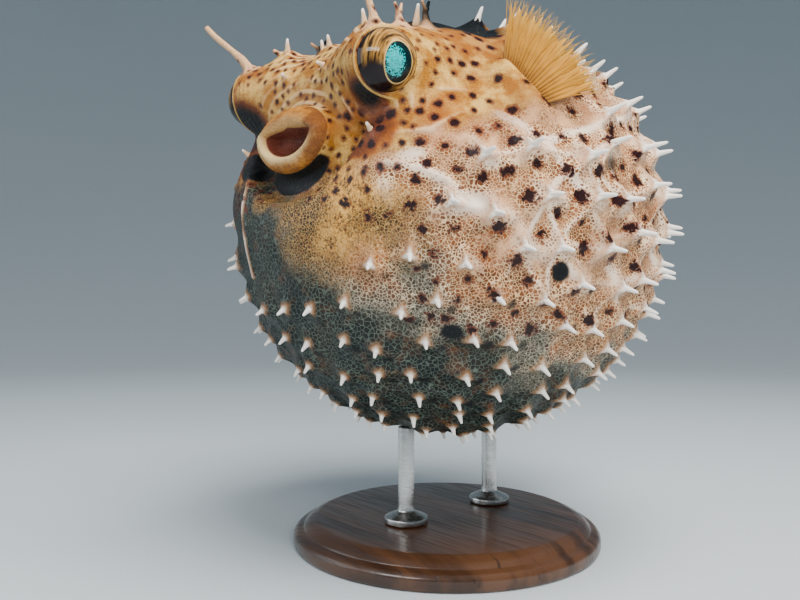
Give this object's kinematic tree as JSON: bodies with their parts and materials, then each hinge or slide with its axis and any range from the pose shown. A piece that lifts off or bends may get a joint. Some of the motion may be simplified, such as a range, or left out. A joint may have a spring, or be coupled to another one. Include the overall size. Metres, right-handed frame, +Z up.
{
  "type": "inflated bridled burrfish on a display stand",
  "caption": "Life-size still model of a blown-up bridled burrfish with erect spines, turret eyes and fanned fins, held by rods on a plain round base.",
  "frame": {"origin": "centre of the underside of the stand's base", "axes": "the fish faces -Y, its left side is +X, +Z is up"},
  "size_m": [0.1608, 0.203, 0.1898],
  "materials": {
    "skin": "moist, satin skin, spotted and netted, with pale spines",
    "lips": "moist, smooth flesh",
    "mouth": "wet, smooth lining",
    "eye": "wet, glossy eyeball",
    "fin": "thin, moist webbed rays",
    "wood": "turned, dark stained and waxed",
    "metal": "satin"
  },
  "bodies": {
    "root": {"anal_fin": "fin", "caudal_fin": "fin", "dorsal_fin": "fin", "eye_left": "eye", "eye_right": "eye", "eyelid_left": "skin", "eyelid_right": "skin", "head": "skin", "lips": "lips", "mouth": "mouth", "pectoral_fin_left": "fin", "pectoral_fin_right": "fin", "stand_base": "wood", "stand_rod_front": "metal", "stand_rod_rear": "metal", "tail": "skin", "tentacle_left": "skin", "tentacle_right": "skin", "trunk": "skin"}
  },
  "joints": []
}
